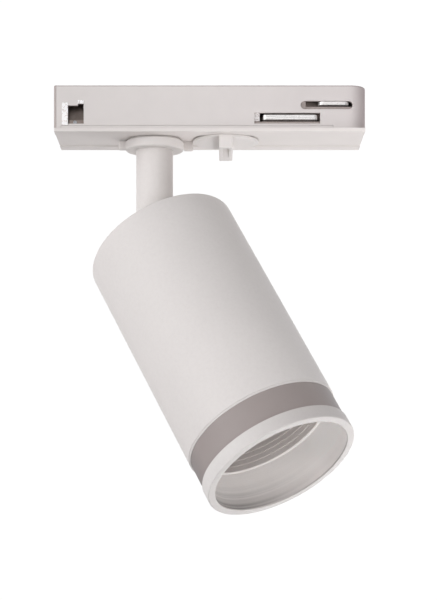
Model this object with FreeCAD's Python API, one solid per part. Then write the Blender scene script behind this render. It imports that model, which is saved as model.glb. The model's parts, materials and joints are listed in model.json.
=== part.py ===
import FreeCAD, Part
import math
import os

# Track spotlight: a long adapter with a lock lever, a pan swivel and stem below it, and a
# cylindrical head on a tilt hinge. Millimetres and degrees. The adapter runs along x, the pan
# axis is x = y = 0 and z is up. Pieces are modelled with z = 0 at the flange top and exported
# with z = 0 at the housing's top face. "Near" is the -y side and "far" the +y side.
# Hinge and head pieces are modelled about the tilt pivot, the head pointing straight down.

os.makedirs("parts", exist_ok=True)
V = FreeCAD.Vector
ALONG_Y = V(0, 1, 0)

# ---------------------------------------------------------------- driving dimensions
# adapter
HOUSING_X0, HOUSING_X1 = -38.45, 82.45
FLANGE_X0, FLANGE_X1 = -38.3, 82.05
HOUSING_W, HOUSING_H = 33.0, 16.7      # height is above the flange
FLANGE_W, FLANGE_T = 35.0, 1.45
WALL = 1.8
NOSE_R = 6.0                           # upright corners at the +x end
FLOOR_Z = 0.8                          # inside floor of the base
PANEL_W, PANEL_DEPTH = 20.6, 0.35      # shallow panel sunk in the underside
UPSTAND_X0, UPSTAND_X1 = -35.6, 69.6   # upstands of the base, let into the long walls
FIT = 0.2                              # gap between the base and the housing's inside
BOSSES = [(-33.4, 8.5), (-33.4, -8.5), (13.0, 11.6), (13.0, -11.6), (77.0, 0.0)]
BOSS_R = 2.6
COUNTERBORE = 1.1                      # depth of the screw heads' counterbores
RIBS_X, RIB_HALF_T = (48.0, 62.0), 1.0  # guide ribs for the carriages
RUN = 0.05                             # radial running clearance
# lock lever, cam and carriages
LEVER_X = 28.2
LEVER_R, SHAFT_R = 13.0, 5.0
GRIP_W, GRIP_Z = 5.4, -6.8
SQUARE = 5.0                           # square drive between lever and cam
CAM_R, CAM_Z0, CAM_Z1 = 12.2, 1.0, 4.2
FOLLOWER_R, CAM_STROKE = 6.0, 3.2      # follower radius at rest, travel in a quarter turn
PIN_R, GROOVE_W = 1.5, 3.2
GROOVE_DEPTH = 1.9
ARM_Z0, ARM_Z1 = 4.5, 6.5
# plates held by the carriages: x0, x1, y0, y1, z0, z1
LIVE_BLADE = (64.1, 75.7, -16.1, -5.0, 9.2, 10.45)
NEUTRAL_BLADE = (42.5, 63.6, -16.1, -5.0, 3.5, 5.3)
TONGUE_PLATE = (43.0, 63.2, 5.0, 16.1, 3.5, 5.3)
# earth spring, terminals and leads
LEAF_T = 0.5
RIVET_X, RIVET_Z, RIVET_R = -30.4, 2.7, 0.7
TERMINAL_X, TERMINALS_Y = -18.5, (-5.6, 0.0, 5.6)
ENTRY_Z = 3.4                          # height of the wire entries
WIRE_R = 0.95
# swivel and stem
COLLAR_R, STEM_R, STEM_BORE = 11.45, 7.3, 6.0
STEM_TOP = -3.1
NIPPLE_R, NIPPLE_BORE = 5.0, 3.2
NIPPLE_Z0, NIPPLE_Z1 = -10.5, 8.6
PIVOT_Z = -37.4                        # tilt pivot
CABLE_R = 1.8
# hinge, about the pivot
FORK_H = 9.0                           # pivot to the shoulder under the stem tube
EAR_R = 6.8
FORK_GAP, FORK_GAP_TOP = 4.2, 6.7
SCREW_R = 2.0
NUT_Y = 5.0
CABLE_BEND = V(0, 0, 13.0)
CABLE_OUT = V(-8.6, 0, 5.65)
OUTLET_DIR = (CABLE_OUT - CABLE_BEND).normalize()
TONGUE_W, TONGUE_T, TONGUE_R = 12.0, 3.0, 6.2
TILT_REST, PAN_REST = 35.7, -44.5
# head, about the pivot
REAR = 7.6                             # pivot to rear face
HEAD_L, HEAD_R, HEAD_WALL = 109.6, 30.0, 1.5
BACK_T = 2.5
REAR_Z, REAR_IN_Z = -REAR, -REAR - BACK_T  # rear wall, outside and inside
FRONT_Z = -(REAR + HEAD_L)
BORE_R = HEAD_R - HEAD_WALL
INSERT_R = BORE_R - 0.08               # front pieces inside the shell
FOOT_T = 2.5                           # plate on the tongue, inside the rear wall
TONGUE_SCREWS_Y = (-6.0, 6.0)
BRACKET_SCREWS_Y = (-19, 19)
GROMMET_X, GROMMET_R = -13.5, 3.0
HOLDER_FRONT, HOLDER_REAR = 82.0, 96.4  # distances back from the front plane
HOLDER_R = 12.6
HOLDER_SCREWS = [(-6.5, -9.0), (6.5, 9.0)]
BRACKET_T, BRACKET_HALF_W = 1.2, 9
LEG_Y, FOOT_Y = 14.8, 22               # inside of the bracket's legs, tips of its feet
SPLIT_Z = REAR_IN_Z - 4.0              # where the head cable divides into leads
LEAD_R = 0.75
LAMP_R, LAMP_FACE = 25.0, 28.0         # LAMP_FACE is back from the front plane
LAMP_BASE = LAMP_FACE + 53.75
PIN_X, PIN_NECK_R, PIN_HEAD_R = 5.0, 1.6, 2.5
PIN_SUNK = 3.0                         # pin length inside the lamp
# front ring, with distances back from the front plane
RING_IN_R, ACRYLIC_R, SEAT_R = 27.15, 29.5, 27.9
LIP, BEZEL_END, ACRYLIC_END = 0.7, 5.5, 16.7
BAFFLE_START = 17.9
SEAL_GROOVE, SEAL_GROOVE_W = LAMP_FACE - 3.2, 1.6

HALF_W, FLANGE_HALF_W = HOUSING_W / 2, FLANGE_W / 2
INNER_HALF_W = HALF_W - WALL
ROOF_Z = HOUSING_H - WALL
UNDERSIDE = -FLANGE_T
PANEL_Z = UNDERSIDE + PANEL_DEPTH


# ---------------------------------------------------------------- helpers
def box(x0, x1, y0, y1, z0, z1):
    return Part.makeBox(x1 - x0, y1 - y0, z1 - z0, V(x0, y0, z0))


def cyl(radius, z0, z1, x=0.0, y=0.0):
    return Part.makeCylinder(radius, z1 - z0, V(x, y, z0), V(0, 0, 1))


def cyl_y(radius, y0, y1, x=0.0, z=0.0):
    return Part.makeCylinder(radius, y1 - y0, V(x, y0, z), ALONG_Y)


def tube(outer, inner, z0, z1):
    return cyl(outer, z0, z1).cut(cyl(inner, z0 - 1, z1 + 1))


def prism(points, sweep):
    return Part.Face(Part.makePolygon(points + [points[0]])).extrude(sweep)


def revolve(outline):
    """Solid of revolution about z from a closed (radius, z) outline."""
    points = [V(radius, 0, z) for radius, z in outline]
    wire = Part.makePolygon(points + [points[0]])
    return Part.Face(wire).revolve(V(0, 0, 0), V(0, 0, 1), 360)


def z_at(depth):
    """Height in the head of a plane this far back from the front."""
    return FRONT_Z + depth


def revolve_depths(outline):
    """Solid of revolution from a (radius, distance back from the front) outline."""
    return revolve([(radius, z_at(depth)) for radius, depth in outline])


def hexagon(across_flats, z0, z1, turn=0.0):
    radius = across_flats / math.sqrt(3)
    angles = [math.radians(60 * i + turn) for i in range(6)]
    points = [V(radius * math.cos(a), radius * math.sin(a), z0) for a in angles]
    return prism(points, V(0, 0, z1 - z0))


def hexagon_y(across_flats, y0, length, turn=0.0):
    shape = hexagon(across_flats, 0, length, turn)
    shape.rotate(V(0, 0, 0), V(1, 0, 0), -90)
    shape.translate(V(0, y0, 0))
    return shape


def fuse(first, *others):
    for other in others:
        first = first.fuse(other)
    return first.removeSplitter()


def cut(base, *tools):
    for tool in tools:
        base = base.cut(tool)
    return base


def fillet(shape, radius, test):
    return shape.makeFillet(radius, [e for e in shape.Edges if test(e.BoundBox)])


def in_plane(bounds, axis, value):
    ends = (getattr(bounds, axis + "Min"), getattr(bounds, axis + "Max"))
    return all(abs(end - value) < 1e-3 for end in ends)


def upright_at(x):
    """Test for tall upright edges at this x."""
    return lambda b: in_plane(b, "X", x) and b.ZLength > 10


def chamfer_circles(shape, size, radius, z=None):
    """Chamfers the circular edges of this radius, at height z if one is given."""
    def wanted(edge):
        curve, bounds = edge.Curve, edge.BoundBox
        if not isinstance(curve, Part.Circle) or abs(curve.Radius - radius) >= 0.02:
            return False
        return z is None or (abs(bounds.ZMin - z) < 0.02 and abs(bounds.ZMax - z) < 0.02)
    return shape.makeChamfer(size, [e for e in shape.Edges if wanted(e)])


def wire(points, radius):
    """Round cable along straight runs with ball corners."""
    points = [V(*p) for p in points]
    out = None
    for start, end in zip(points[:-1], points[1:]):
        run = Part.makeCylinder(radius, (end - start).Length, start, end - start)
        out = run if out is None else out.fuse(run)
    for corner in points[1:-1]:
        out = out.fuse(Part.makeSphere(radius, corner))
    return out.removeSplitter()


def screw(x, y, z, head_r, head_h, shank_r, shank_l):
    """Cross-slotted screw with its head on top of z and its shank going down."""
    body = fuse(cyl(head_r, z, z + head_h, x, y), cyl(shank_r, z - shank_l, z, x, y))
    half_w, half_l = head_r * 0.28 / 2, head_r * 1.25 / 2
    z0, z1 = z + head_h - head_h * 0.5, z + head_h + 1
    return cut(body, box(x - half_l, x + half_l, y - half_w, y + half_w, z0, z1),
               box(x - half_w, x + half_w, y - half_l, y + half_l, z0, z1))


def up_screw(x, y, z, **sizes):
    """Screw driven upwards: head below z, shank above."""
    shape = screw(0, 0, 0, **sizes)
    shape.rotate(V(0, 0, 0), V(1, 0, 0), 180)
    shape.translate(V(x, y, z))
    return shape


def export(piece, placement=None):
    """Builds a piece, places it and writes it under its function's name."""
    shape = piece().copy()
    if placement is not None:
        shape.transformShape(placement.toMatrix(), True)
    shape.translate(V(0, 0, -HOUSING_H))
    solids = shape.Solids
    out = solids[0] if len(solids) == 1 else Part.makeCompound(solids)
    out.exportStep("parts/%s.step" % piece.__name__)


# ---------------------------------------------------------------- adapter housing and base
def housing_shell():
    """Box open below, with two rounded upright corners at its +x end."""
    x0, x1, y = HOUSING_X0, HOUSING_X1, HALF_W
    shell = prism([V(x0, -y, 0), V(x1, -y, 0), V(x1, y, 0), V(x0, y, 0)], V(0, 0, HOUSING_H))
    shell = fillet(shell, NOSE_R, upright_at(x1))
    square_end = upright_at(x0)
    shell = shell.makeChamfer(0.5, [e for e in shell.Edges if square_end(e.BoundBox)])
    shell = fillet(shell, 0.6, lambda b: in_plane(b, "Z", HOUSING_H))
    x0, x1, y = x0 + WALL, x1 - WALL, INNER_HALF_W
    cavity = prism([V(x0, -y, -1), V(x1, -y, -1), V(x1, y, -1), V(x0, y, -1)],
                   V(0, 0, ROOF_Z + 1))
    return shell.cut(fillet(cavity, NOSE_R - WALL, upright_at(x1)))


def adapter_housing():
    housing = housing_shell()
    # notches for the base's upstands, leaving a fine seam low on each side
    for y0, y1 in ((-HALF_W - 1, -INNER_HALF_W + FIT), (INNER_HALF_W - FIT, HALF_W + 1)):
        housing = housing.cut(box(UPSTAND_X0 - 0.1, UPSTAND_X1 + 0.1, y0, y1, -1, 1.09))

    # openings in the near wall: stepped window, round-ended slot, square slot
    outer = -HALF_W
    near = (outer - 1, outer + WALL + 1.5)
    window_x0, window_x1, step_x0 = -33.0, -26.9, -29.1
    window_z = (1.8, 8.8)
    window = box(window_x0, window_x1, *near, *window_z).fuse(
        box(step_x0, window_x1, *near, 8.6, 9.5))
    round_x0, round_x1, round_z0, round_z1 = 57.1, 77.2, 7.4, 10.6
    end_r = (round_z1 - round_z0) / 2
    end_xs = (round_x0 + end_r, round_x1 - end_r)
    round_slot = box(*end_xs, *near, round_z0, round_z1)
    for x in end_xs:
        round_slot = round_slot.fuse(cyl_y(end_r, *near, x, (round_z0 + round_z1) / 2))
    square_x0, square_x1, square_z0, square_z1 = 41.25, 64.65, 2.75, 6.0
    square_slot = box(square_x0, square_x1, *near, square_z0, square_z1)
    # shallow rebates beside and below the square slot
    rebate_x0, rebate_z0 = 39.2, 1.85
    rebate = box(rebate_x0, square_x0 + 0.2, near[0], outer + 0.5, rebate_z0, square_z1).fuse(
        box(rebate_x0, square_x1, near[0], outer + 0.9, rebate_z0, square_z0 + 0.1))
    housing = cut(housing, window, round_slot, square_slot, rebate)
    # ledge set back inside the round-ended slot, along its bottom and -x end
    ledge_x0, ledge_z0 = round_x0 - 0.5, round_z0 - 0.5
    inner = outer + WALL
    ledge = box(ledge_x0, round_x1 + 0.5, outer + 1.1, inner, ledge_z0, round_z0 + 1.15)
    ledge = ledge.fuse(
        box(ledge_x0, round_x0 + 2.0, outer + 0.8, inner, ledge_z0, round_z1 + 0.5))
    housing = fuse(housing, ledge.common(round_slot))
    # raised bead along the window's -x edge and above its step
    bead_y = (outer - 0.2, outer + 0.2)
    bead = box(-35.3, window_x0, *bead_y, 1.2, 9.9).fuse(
        box(step_x0, window_x1, *bead_y, 9.5, 10.9))
    housing = fuse(housing, bead)

    # far wall: openings for the locking tongue and the earth spring
    far = (INNER_HALF_W - 1.5, HALF_W + 1)
    housing = housing.cut(box(square_x0, square_x1, *far, square_z0, square_z1))
    housing = housing.cut(box(window_x0, window_x1, *far, *window_z))
    for x, y in BOSSES:
        housing = cut(housing, cyl(1.4, ROOF_Z - 1, HOUSING_H + 1, x, y),
                      cyl(2.5, HOUSING_H - COUNTERBORE, HOUSING_H + 1, x, y))
    return housing


def adapter_base():
    """Flange plate with floor, upstands, screw bosses, guide ribs and a stop block."""
    flange = box(FLANGE_X0, FLANGE_X1, -FLANGE_HALF_W, FLANGE_HALF_W, UNDERSIDE, 0)
    flange = fillet(flange, 0.28, lambda b: in_plane(b, "Z", UNDERSIDE) and b.XLength > 50)
    flange = flange.cut(box(HOUSING_X0 - 1, HOUSING_X1 + 1, -PANEL_W / 2, PANEL_W / 2,
                            UNDERSIDE - 1, PANEL_Z))
    # the floor narrows where the housing's corners are rounded
    root_z = -0.01
    nose_x, floor_y, nose_y = HOUSING_X1 - NOSE_R, INNER_HALF_W - FIT, HALF_W - NOSE_R
    floor = box(HOUSING_X0 + WALL + FIT, nose_x, -floor_y, floor_y, root_z, FLOOR_Z)
    floor = floor.fuse(
        box(nose_x - 1, HOUSING_X1 - WALL - FIT, -nose_y, nose_y, root_z, FLOOR_Z))
    upstand_y = INNER_HALF_W - 0.4
    upstands = box(UPSTAND_X0, UPSTAND_X1, -HALF_W, -upstand_y, root_z, 1.05).fuse(
        box(UPSTAND_X0, UPSTAND_X1, upstand_y, HALF_W, root_z, 1.05))
    base = fuse(flange, floor, upstands)
    bosses = [cyl(BOSS_R, 0.5, ROOF_Z - 0.02, x, y) for x, y in BOSSES]
    ribs = [box(x - RIB_HALF_T, x + RIB_HALF_T, -13.8, 13.8, 0.5, 2.2) for x in RIBS_X]
    # stop block below the flange, beside the collar
    stop_z = -4.5
    stop = box(11.6, 15.1, 2.6, 5.6, stop_z, -0.9)
    stop = fillet(stop, 0.5, lambda b: in_plane(b, "Z", stop_z))
    base = fuse(base, *bosses, *ribs, stop)
    base = cut(base, cyl(NIPPLE_R + RUN, -5, 5), cyl(SHAFT_R + RUN, -5, 5, LEVER_X))
    for x, y in BOSSES:
        base = base.cut(cyl(1.0, ROOF_Z - 9, HOUSING_H, x, y))
    return base.removeSplitter()


def housing_screws():
    return Part.makeCompound([
        screw(x, y, HOUSING_H - COUNTERBORE, head_r=2.2, head_h=1.0, shank_r=1.0, shank_l=8.0)
        for x, y in BOSSES])


# ---------------------------------------------------------------- lock lever, cam, carriages
def lock_lever():
    """Disc and grip below the flange, with a shaft and square drive going up."""
    top, rim_z, bottom = UNDERSIDE - 0.04, -2.08, -2.45
    disc = revolve([(0, top), (LEVER_R, top), (LEVER_R, rim_z), (LEVER_R - 0.3, -2.16),
                    (11.5, -2.3), (11.3, bottom), (0, bottom)])
    disc.translate(V(LEVER_X, 0, 0))
    root_z, half_l = UNDERSIDE - 0.5, 12.95
    grip = box(LEVER_X - GRIP_W / 2, LEVER_X + GRIP_W / 2, -half_l, half_l, GRIP_Z, root_z)
    grip = fillet(grip, 0.8, lambda b: b.ZLength > 3)
    grip = fillet(grip, 0.4, lambda b: in_plane(b, "Z", GRIP_Z))
    # sloping pocket in the underside of the grip, as y, z
    pocket_w = 2.4
    pocket_outline = [(-10.9, GRIP_Z - 1), (-10.9, -3.4), (-9.4, -3.4),
                      (6.0, GRIP_Z), (6.0, GRIP_Z - 1)]
    pocket = prism([V(LEVER_X - pocket_w / 2, y, z) for y, z in pocket_outline],
                   V(pocket_w, 0, 0))
    shaft = cyl(SHAFT_R, root_z, 0.9, LEVER_X)
    half = SQUARE / 2
    square = box(LEVER_X - half, LEVER_X + half, -half, half, 0.8, 4.6)
    lever = cut(fuse(disc, grip, shaft, square), pocket, cyl(1.0, -0.5, 6, LEVER_X))
    return lever.removeSplitter()


def spiral_groove(start_deg):
    """Archimedean groove: a follower fixed at start_deg moves out as the cam turns."""
    rise = CAM_STROKE / (math.pi / 2)
    steps, overrun = 28, math.radians(4)
    first, last = -overrun, math.pi / 2 + overrun
    z0, height = CAM_Z1 - GROOVE_DEPTH, 3

    def polar(turn):
        return FOLLOWER_R + rise * turn, math.radians(start_deg) - turn

    outer, inner = [], []
    for i in range(steps + 1):
        radius, angle = polar(first + (last - first) * i / steps)
        cos, sin = math.cos(angle), math.sin(angle)
        centre = V(radius * cos, radius * sin, 0)
        tangent = V(rise * cos + radius * sin, rise * sin - radius * cos, 0)
        tangent.normalize()
        normal = V(-tangent.y, tangent.x, 0)
        outer.append(centre + normal * (GROOVE_W / 2))
        inner.append(centre - normal * (GROOVE_W / 2))
    sides = []
    for points in (outer, inner[::-1]):
        curve = Part.BSplineCurve()
        curve.interpolate(points)
        sides.append(curve.toShape())
    edges = [sides[0], Part.makeLine(outer[-1], inner[-1]),
             sides[1], Part.makeLine(inner[0], outer[0])]
    groove = Part.Face(Part.Wire(edges)).extrude(V(0, 0, height))
    groove.translate(V(0, 0, z0))
    ends = []
    for turn in (first, last):
        radius, angle = polar(turn)
        ends.append(cyl(GROOVE_W / 2, z0, z0 + height,
                        radius * math.cos(angle), radius * math.sin(angle)))
    return fuse(groove, *ends)


def lock_cam():
    half = SQUARE / 2 + 0.02
    cam = cut(cyl(CAM_R, CAM_Z0, CAM_Z1), spiral_groove(-90.0), spiral_groove(90.0),
              box(-half, half, -half, half, 0, 6))
    cam.translate(V(LEVER_X, 0, 0))
    return cam


def cam_screw():
    return screw(LEVER_X, 0, 4.62, head_r=3.2, head_h=1.0, shank_r=0.98, shank_l=4.2)


def carriage(x_end, z_top):
    """Near-side carriage: arm over the cam, body beside it, grooves for the ribs."""
    arm = box(LEVER_X - 2.8, 46.0, -FOLLOWER_R - 2.8, -FOLLOWER_R + 2.4, ARM_Z0, ARM_Z1)
    arm = fillet(arm, 2.5, lambda b: b.ZLength > 1.9 and b.XMax < LEVER_X)
    out = fuse(arm, box(43.0, x_end, -11.2, -3.8, 1.25, z_top))
    half = RIB_HALF_T + 0.15
    for x in RIBS_X:
        out = out.cut(box(x - half, x + half, -20, 0, 0, 2.35))
    return out.cut(cyl(PIN_R, 0, 10, LEVER_X, -FOLLOWER_R))


def blade(extent, corner_r):
    """Flat plate with its two corners rounded at the outer end in y."""
    return fillet(box(*extent), corner_r,
                  lambda b: b.ZLength > 0.9 and abs(b.Center.y) > 15.7)


def follower_pin(y):
    return cyl(PIN_R, CAM_Z1 - 1.7, ARM_Z1 + 0.4, LEVER_X, y)


def contact_carriage():
    out = cut(carriage(73.6, 11.6), box(*LIVE_BLADE), box(*NEUTRAL_BLADE))
    # relief under the live blade
    return out.cut(box(66.2, 80, -20, 0, 0, 7.6)).removeSplitter()


def live_contact():
    return blade(LIVE_BLADE, 1.6)


def neutral_contact():
    return blade(NEUTRAL_BLADE, 1.2)


def contact_follower_pin():
    return follower_pin(-FOLLOWER_R)


def lock_carriage():
    mirror_y = FreeCAD.Matrix(1, 0, 0, 0, 0, -1, 0, 0, 0, 0, 1, 0, 0, 0, 0, 1)
    return carriage(66.0, 8.2).transformGeometry(mirror_y).cut(box(*TONGUE_PLATE))


def lock_tongue():
    return blade(TONGUE_PLATE, 1.6)


def lock_follower_pin():
    return follower_pin(FOLLOWER_R)


# ---------------------------------------------------------------- earth spring, terminals, leads
def earth_spring():
    """Strap across the floor with a bent leaf up each long wall."""
    spring = box(-29.4, -26.2, -13.9, 13.9, FLOOR_Z, FLOOR_Z + LEAF_T)
    # leaf outline as y, z
    leaf = [(13.8, FLOOR_Z), (14.25, FLOOR_Z), (14.25, 3.6), (12.2, 11.0),
            (11.7, 11.0), (13.75, 3.6), (13.75, FLOOR_Z)]
    for side in (-1, 1):
        spring = spring.fuse(prism([V(-33.6, side * y, z) for y, z in leaf], V(7.4, 0, 0)))
    return spring.removeSplitter().cut(cyl_y(RIVET_R, -20, 20, RIVET_X, RIVET_Z))


def earth_rivets():
    inner, outer = 13.45, 14.75
    near = cyl_y(RIVET_R, -outer, -inner, RIVET_X, RIVET_Z)
    dimple = cyl_y(0.3, -outer, -outer + 0.3, RIVET_X, RIVET_Z)
    far = cyl_y(RIVET_R, inner, outer, RIVET_X, RIVET_Z)
    return Part.makeCompound([near.cut(dimple), far])


def terminal_block():
    block = box(-23.5, -13.5, -8.4, 8.4, FLOOR_Z, 9.0)
    for y in TERMINALS_Y:
        entries = [Part.makeCylinder(1.35, 6.0, V(x, y, ENTRY_Z), V(1, 0, 0))
                   for x in (-25, -18)]
        block = cut(block, cyl(1.6, 4.5, 10, TERMINAL_X, y), *entries)
    for y in (-2.8, 2.8):
        block = block.cut(box(-24, -13, y - 0.5, y + 0.5, 7.4, 10))
    return block


def terminal_screws():
    return Part.makeCompound([
        screw(TERMINAL_X, y, 6.2, head_r=1.45, head_h=1.4, shank_r=0.9, shank_l=1.2)
        for y in TERMINALS_Y])


def live_lead():
    z, drop_x, terminal_y = 11.75 + WIRE_R, -11.4, TERMINALS_Y[0]
    return wire([(69.0, -8.0, z), (20.0, -8.0, z), (drop_x, terminal_y, z),
                 (drop_x, terminal_y, ENTRY_Z), (-17.2, terminal_y, ENTRY_Z)], WIRE_R)


def neutral_lead():
    y, z, drop_x = -1.8, 9.9, -10.6
    return wire([(52.0, y, 9.6), (44.0, y, z), (20.0, y, z), (drop_x, 0.0, z),
                 (drop_x, 0.0, ENTRY_Z), (-17.2, 0.0, ENTRY_Z)], WIRE_R)


def earth_lead():
    x, y = -27.8, TERMINALS_Y[2]
    return wire([(x, y, FLOOR_Z + LEAF_T + 1.0), (x, y, ENTRY_Z), (-20.2, y, ENTRY_Z)], WIRE_R)


# ---------------------------------------------------------------- swivel and stem
WASHER_Z = FLOOR_Z + 0.05
SPRING_Z = WASHER_Z + 1.0
NUT_Z = SPRING_Z + 0.6


def swivel_collar():
    """Collar turning in the sunk panel, socketed for the stem, with a lug towards -x."""
    top, shoulder, bottom = PANEL_Z - 0.05, -1.95, -5.45
    recess_z, socket_r = -5.3, STEM_R + 0.02
    collar = revolve([
        (NIPPLE_R, top), (10.2, top), (10.2, shoulder), (COLLAR_R - 0.2, shoulder),
        (COLLAR_R, -2.15), (COLLAR_R, -5.05), (COLLAR_R - 0.4, bottom),
        (COLLAR_R - 1.5, bottom), (COLLAR_R - 1.8, recess_z), (socket_r, recess_z),
        (socket_r, STEM_TOP), (NIPPLE_R, STEM_TOP)])
    lug = box(-14.1, -COLLAR_R + 0.8, -1.5, 1.5, -4.9, -2.2)
    return fuse(collar, fillet(lug, 0.35, lambda b: b.XMax < -14.0))


def swivel_nipple():
    nipple = tube(NIPPLE_R, NIPPLE_BORE, NIPPLE_Z0, NIPPLE_Z1)
    return chamfer_circles(nipple, 0.5, NIPPLE_R, NIPPLE_Z1)


def swivel_flat_washer():
    return tube(8.2, NIPPLE_R, WASHER_Z, SPRING_Z)


def swivel_spring_washer():
    """Split ring, open towards +x."""
    return tube(7.6, NIPPLE_R + 0.15, SPRING_Z, NUT_Z).cut(box(0, 9, -0.4, 0.4, 0, 5))


def swivel_nut():
    """Hexagon nut with its upper corners turned off by a cone."""
    nut = hexagon(14.0, NUT_Z, FLOOR_Z + 5.2).cut(cyl(NIPPLE_R, 0, 9))
    envelope_r, cone_z = 10.6, FLOOR_Z + 3.2
    cone = Part.makeCone(envelope_r, 6.6, 4.0, V(0, 0, cone_z), V(0, 0, 1))
    return nut.common(cone.fuse(cyl(envelope_r, 0, cone_z))).removeSplitter()


def cable_outlet():
    """Oblique bore for the cable, about the pivot."""
    return Part.makeCylinder(CABLE_R + 0.35, 16, CABLE_BEND, OUTLET_DIR)


def stem_tube():
    notch = cable_outlet()
    notch.transformShape(HINGE_PLACE.toMatrix(), True)
    return tube(STEM_R, STEM_BORE, PIVOT_Z + FORK_H, STEM_TOP).cut(notch)


def stem_top_plug():
    return fuse(tube(STEM_BORE, NIPPLE_R, NIPPLE_Z0, STEM_TOP),
                tube(STEM_BORE, NIPPLE_BORE, NIPPLE_Z0 - 2.0, NIPPLE_Z0))


# ---------------------------------------------------------------- hinge; head leans to local +x
def stem_cable():
    return wire([(0, 0, -PIVOT_Z + 7.4), CABLE_BEND, CABLE_OUT], CABLE_R)


def hinge_cable_loop():
    """Cable bent in one loop from the fork's outlet to the head's grommet."""
    tilt = HEAD_TILT.Rotation
    start, start_dir = CABLE_OUT, OUTLET_DIR
    end, end_dir = tilt.multVec(V(GROMMET_X, 0, REAR_Z + 1.35)), tilt.multVec(V(0, 0, -1))
    pull, steps = 44.0, 7
    points = []
    for i in range(steps + 1):
        u = i / steps
        # cubic Hermite weights
        points.append(start * (2 * u**3 - 3 * u**2 + 1)
                      + start_dir * (pull * (u**3 - 2 * u**2 + u))
                      + end * (-2 * u**3 + 3 * u**2)
                      + end_dir * (pull * (u**3 - u**2)))
    # trim both ends square to their directions
    trim_r, trim_l = 2 * CABLE_R, 3 * CABLE_R
    return cut(wire(points, CABLE_R), Part.makeCylinder(trim_r, trim_l, start, start_dir * -1),
               Part.makeCylinder(trim_r, trim_l, end, end_dir)).removeSplitter()


def hinge_fork():
    """Plug that enters the stem, with two rounded ears either side of the tongue."""
    ears = cyl(STEM_R, -EAR_R, 0).common(cyl_y(EAR_R, -10, 10))
    fork = fuse(cyl(STEM_R, 0, FORK_H), cyl(STEM_BORE, FORK_H - 0.1, 15.5), ears)
    half = FORK_GAP / 2
    slot = box(-20, 20, -half, half, -20, FORK_GAP_TOP)
    # thin web closing the slot on its -x side
    web = box(-STEM_R, -6.25, -half, half, -2.5, FORK_GAP_TOP).common(cyl(STEM_R, -5, 9))
    fork = fuse(fork.cut(slot), web)
    # cable bore, screw hole, screw-head recess, nut recess
    fork = cut(fork, cyl(2.4, 5, 20), cyl_y(SCREW_R + RUN, -10, 10), cyl_y(3.6, -10.4, -5.4))
    fork = fork.cut(hexagon_y(7.1, NUT_Y, 5.4, turn=30)).removeSplitter()
    return fork.cut(cable_outlet()).removeSplitter()


def hinge_screw():
    shape = fuse(cyl_y(SCREW_R, -5.4, 6.9), cyl_y(3.4, -6.5, -5.4))
    return shape.cut(hexagon_y(2.5, -6.6, 0.8))


def hinge_nut():
    return hexagon_y(7.0, NUT_Y, 1.9, turn=30).cut(cyl_y(SCREW_R, -10, 10))


def hinge_washers():
    thickness, gap = 0.5, 0.03
    return Part.makeCompound([
        cyl_y(5.4, y, y + thickness).cut(cyl_y(SCREW_R + RUN, y - 1, y + 2))
        for y in (-FORK_GAP / 2 + gap, FORK_GAP / 2 - gap - thickness)])


# ---------------------------------------------------------------- head shell and its fittings
def head_shell():
    end = z_at(ACRYLIC_END)
    shell = revolve([
        (0, REAR_Z), (HEAD_R - 0.6, REAR_Z), (HEAD_R - 0.18, REAR_Z - 0.18),
        (HEAD_R, REAR_Z - 0.6), (HEAD_R, end + 0.75), (HEAD_R - 0.2, end + 0.7),
        (HEAD_R - 0.26, end + 0.1), (HEAD_R - 0.36, end), (BORE_R, end),
        (BORE_R, REAR_IN_Z), (0, REAR_IN_Z)])
    half_w, half_t = TONGUE_W / 2 + 0.1, TONGUE_T / 2 + 0.05
    z0, z1 = REAR_IN_Z - 1, REAR_Z + 1
    shell = shell.cut(box(-half_w, half_w, -half_t, half_t, z0, z1))
    shell = shell.cut(cyl(GROMMET_R, z0, z1, GROMMET_X, 0))
    for y in TONGUE_SCREWS_Y + BRACKET_SCREWS_Y:
        shell = shell.cut(cyl(1.5, z0, REAR_IN_Z + 1.9, 0, y))
    return shell.removeSplitter()


def hinge_tongue():
    """Round-ended tongue through the rear wall, on a plate inside it."""
    half_w, half_t = TONGUE_W / 2, TONGUE_T / 2
    tongue = cyl_y(TONGUE_R, -half_t, half_t).fuse(
        box(-half_w, half_w, -half_t, half_t, REAR_IN_Z, -0.5))
    tongue = fuse(tongue, box(-9, 9, -8.5, 8.5, REAR_IN_Z - FOOT_T, REAR_IN_Z))
    tongue = tongue.cut(cyl_y(SCREW_R + RUN, -10, 10))
    for y in TONGUE_SCREWS_Y:
        tongue = tongue.cut(cyl(1.6, -20, REAR_Z - 1, 0, y))
    return tongue


def tongue_screws():
    return Part.makeCompound([
        up_screw(0, y, REAR_IN_Z - FOOT_T, head_r=2.3, head_h=1.5, shank_r=1.5, shank_l=4.3)
        for y in TONGUE_SCREWS_Y])


def cable_grommet():
    bore_r, lip_r, top, bottom = 1.9, GROMMET_R + 1.0, REAR_Z + 0.9, REAR_IN_Z - 1.0
    grommet = revolve([
        (bore_r, top), (lip_r, top), (lip_r, REAR_Z), (GROMMET_R, REAR_Z),
        (GROMMET_R, REAR_IN_Z), (lip_r, REAR_IN_Z), (lip_r, bottom), (bore_r, bottom)])
    grommet.translate(V(GROMMET_X, 0, 0))
    return grommet


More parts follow.
